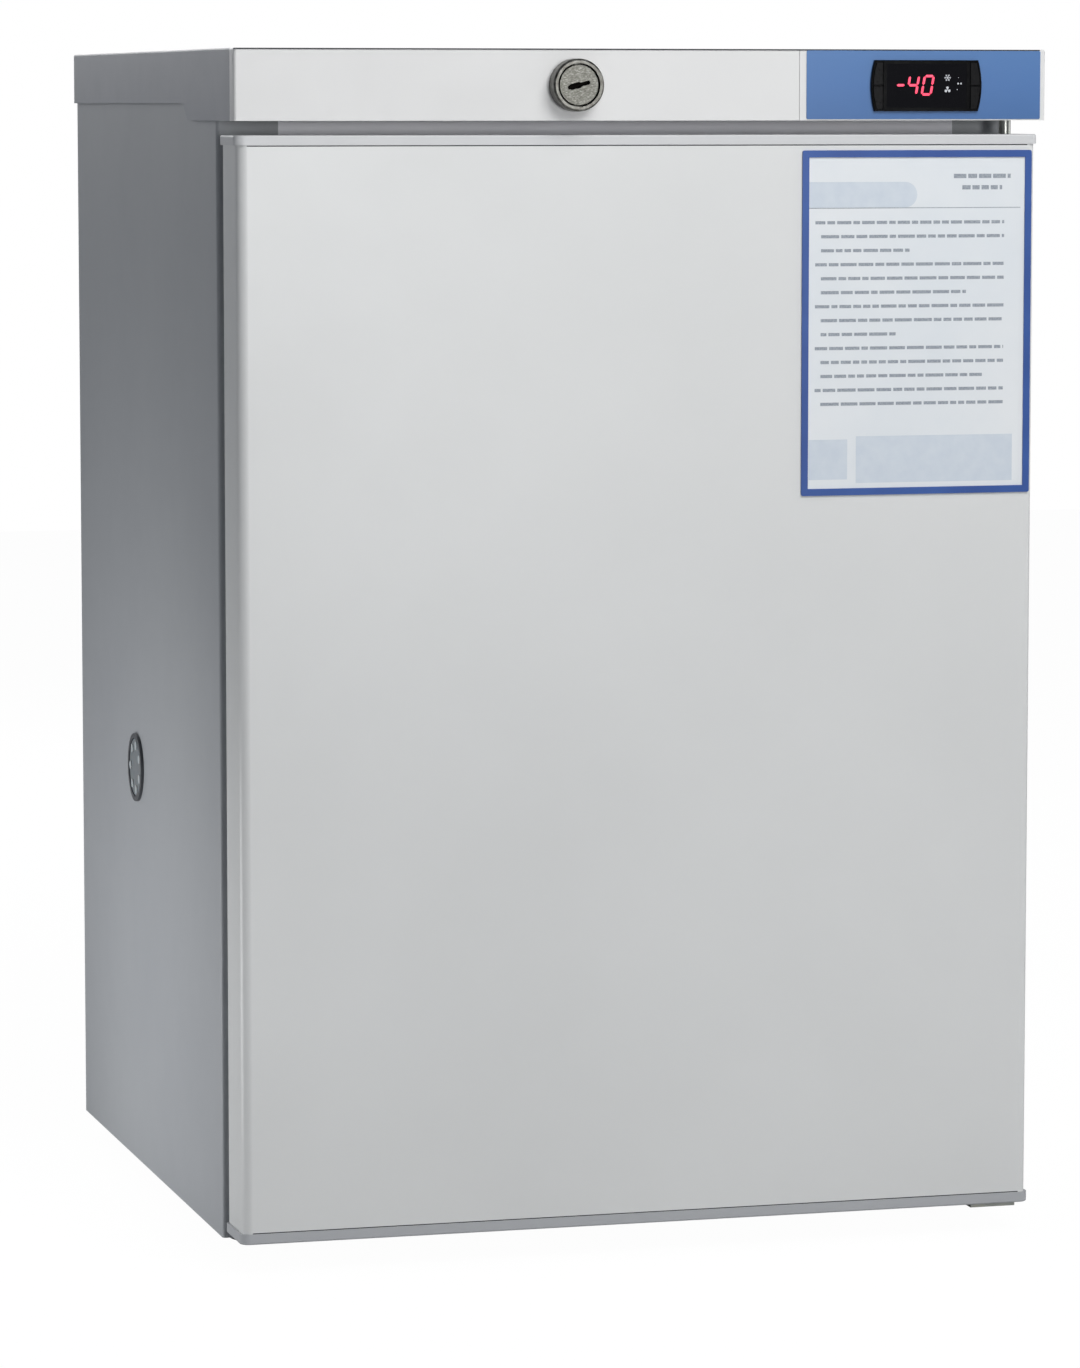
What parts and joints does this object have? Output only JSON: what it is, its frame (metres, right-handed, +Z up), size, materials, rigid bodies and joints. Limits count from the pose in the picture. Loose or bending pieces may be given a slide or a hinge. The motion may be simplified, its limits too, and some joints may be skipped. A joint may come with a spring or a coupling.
{
  "type": "undercounter laboratory freezer",
  "caption": "Undercounter deep freezer with a hinged front door, key lock, temperature display, side access port and rear condenser.",
  "frame": {"origin": "bottom centre of the whole freezer's box, on the floor", "axes": "+X to the freezer's right as seen from its front, -Y to the front, +Z up"},
  "size_m": [0.55, 0.562, 0.797],
  "materials": {
    "door_enamel": "smooth baked enamel",
    "cabinet_enamel": "fine-textured powder coat",
    "galvanised_steel": "galvanised sheet",
    "cover_plastic": "moulded, satin",
    "cap_plastic": "moulded, satin",
    "breaker_plastic": "moulded, satin",
    "blue_film": "printed polycarbonate film",
    "black_plastic": "moulded, semi-gloss",
    "smoked_window": "smoked acrylic",
    "lock_metal": "worn satin nickel",
    "zinc_steel": "zinc-plated",
    "foam": "rigid polyurethane foam",
    "liner_plastic": "vacuum-formed",
    "gasket_rubber": "magnetic door gasket",
    "bush_plastic": "acetal",
    "frame_plastic": "blue printed border",
    "paper": "plain printed sheet",
    "evaporator_aluminium": "mill finish",
    "probe_steel": "drawn",
    "probe_cover_plastic": "moulded",
    "port_plastic": "moulded",
    "port_rubber": "moulded silicone",
    "black_enamel": "black stove enamel",
    "grommet_rubber": "moulded",
    "grey_plastic": "moulded",
    "copper": "drawn copper",
    "inlet_plastic": "moulded",
    "cable_jacket": "extruded jacket",
    "foot_plastic": "moulded on a zinc stem"
  },
  "bodies": {
    "root": {"left_side_panel": "cabinet_enamel", "right_side_panel": "cabinet_enamel", "front_rails": "cabinet_enamel", "back_panel": "galvanised_steel", "base_pan": "galvanised_steel", "alcove_panel": "galvanised_steel", "top_panel": "galvanised_steel", "compressor_plate": "galvanised_steel", "top_cover": "cover_plastic", "control_fascia": "cover_plastic", "display_panel": "cover_plastic", "breaker_frame": "breaker_plastic", "display_film": "blue_film", "controller_bezel": "black_plastic", "controller_housing": "black_plastic", "display_window": "smoked_window", "lock_housing": "lock_metal", "lock_nut": "zinc_steel", "upper_hinge": "zinc_steel", "lower_hinge": "zinc_steel", "compressor_bolts": "zinc_steel", "foot_inserts": "zinc_steel", "cabinet_foam": "foam", "inner_liner": "liner_plastic", "evaporator_shelf_lower": "evaporator_aluminium", "evaporator_shelf_middle": "evaporator_aluminium", "evaporator_shelf_upper": "evaporator_aluminium", "temperature_probe": "probe_steel", "probe_cover": "probe_cover_plastic", "port_sleeve": "port_plastic", "compressor": "black_enamel", "condenser_tube": "black_enamel", "condenser_wires": "black_enamel", "compressor_grommets": "grommet_rubber", "terminal_cover": "grey_plastic", "condenser_clips": "grey_plastic", "refrigerant_lines": "copper", "filter_drier": "copper", "power_inlet": "inlet_plastic", "wiring_harness": "cable_jacket"},
    "door": {"door_panel": "door_enamel", "door_top_cap": "cap_plastic", "door_bottom_cap": "cap_plastic", "door_foam": "foam", "door_liner": "liner_plastic", "door_gasket": "gasket_rubber", "hinge_bushes": "bush_plastic", "instruction_frame": "frame_plastic", "instruction_sheet": "paper"},
    "lock_core": {"lock_plug": "lock_metal", "lock_cam": "zinc_steel"},
    "stopper": {"port_plug": "port_rubber"},
    "upper_left_key": {"key_upper_left": "black_plastic"},
    "lower_left_key": {"key_lower_left": "black_plastic"},
    "upper_right_key": {"key_upper_right": "black_plastic"},
    "lower_right_key": {"key_lower_right": "black_plastic"},
    "front_left_foot": {"foot_front_left": "foot_plastic"},
    "front_right_foot": {"foot_front_right": "foot_plastic"},
    "rear_left_foot": {"foot_rear_left": "foot_plastic"},
    "rear_right_foot": {"foot_rear_right": "foot_plastic"}
  },
  "joints": [
    {"name": "door_swing", "type": "hinge", "parent": "root", "child": "door", "pos_m": [0.258, -0.238, 0.38], "axis": [0, 0, 1], "range_deg": [0, 120]},
    {"name": "lock_turn", "type": "hinge", "parent": "root", "child": "lock_core", "pos_m": [-0.0495, -0.269, 0.7735], "axis": [0, 1, 0], "range_deg": [0, 90]},
    {"name": "stopper_pull", "type": "slide", "parent": "root", "child": "stopper", "axis": [-1, 0, 0], "range_m": [0, 0.08]},
    {"name": "upper_left_key_press", "type": "slide", "parent": "root", "child": "upper_left_key", "axis": [0, 1, 0], "range_m": [0, 0.0006], "stiffness_N_per_m": 900},
    {"name": "lower_left_key_press", "type": "slide", "parent": "root", "child": "lower_left_key", "axis": [0, 1, 0], "range_m": [0, 0.0006], "stiffness_N_per_m": 900},
    {"name": "upper_right_key_press", "type": "slide", "parent": "root", "child": "upper_right_key", "axis": [0, 1, 0], "range_m": [0, 0.0006], "stiffness_N_per_m": 900},
    {"name": "lower_right_key_press", "type": "slide", "parent": "root", "child": "lower_right_key", "axis": [0, 1, 0], "range_m": [0, 0.0006], "stiffness_N_per_m": 900},
    {"name": "front_left_foot_level", "type": "slide", "parent": "root", "child": "front_left_foot", "axis": [0, 0, -1], "range_m": [0, 0.012]},
    {"name": "front_right_foot_level", "type": "slide", "parent": "root", "child": "front_right_foot", "axis": [0, 0, -1], "range_m": [0, 0.012]},
    {"name": "rear_left_foot_level", "type": "slide", "parent": "root", "child": "rear_left_foot", "axis": [0, 0, -1], "range_m": [0, 0.012]},
    {"name": "rear_right_foot_level", "type": "slide", "parent": "root", "child": "rear_right_foot", "axis": [0, 0, -1], "range_m": [0, 0.012]}
  ]
}
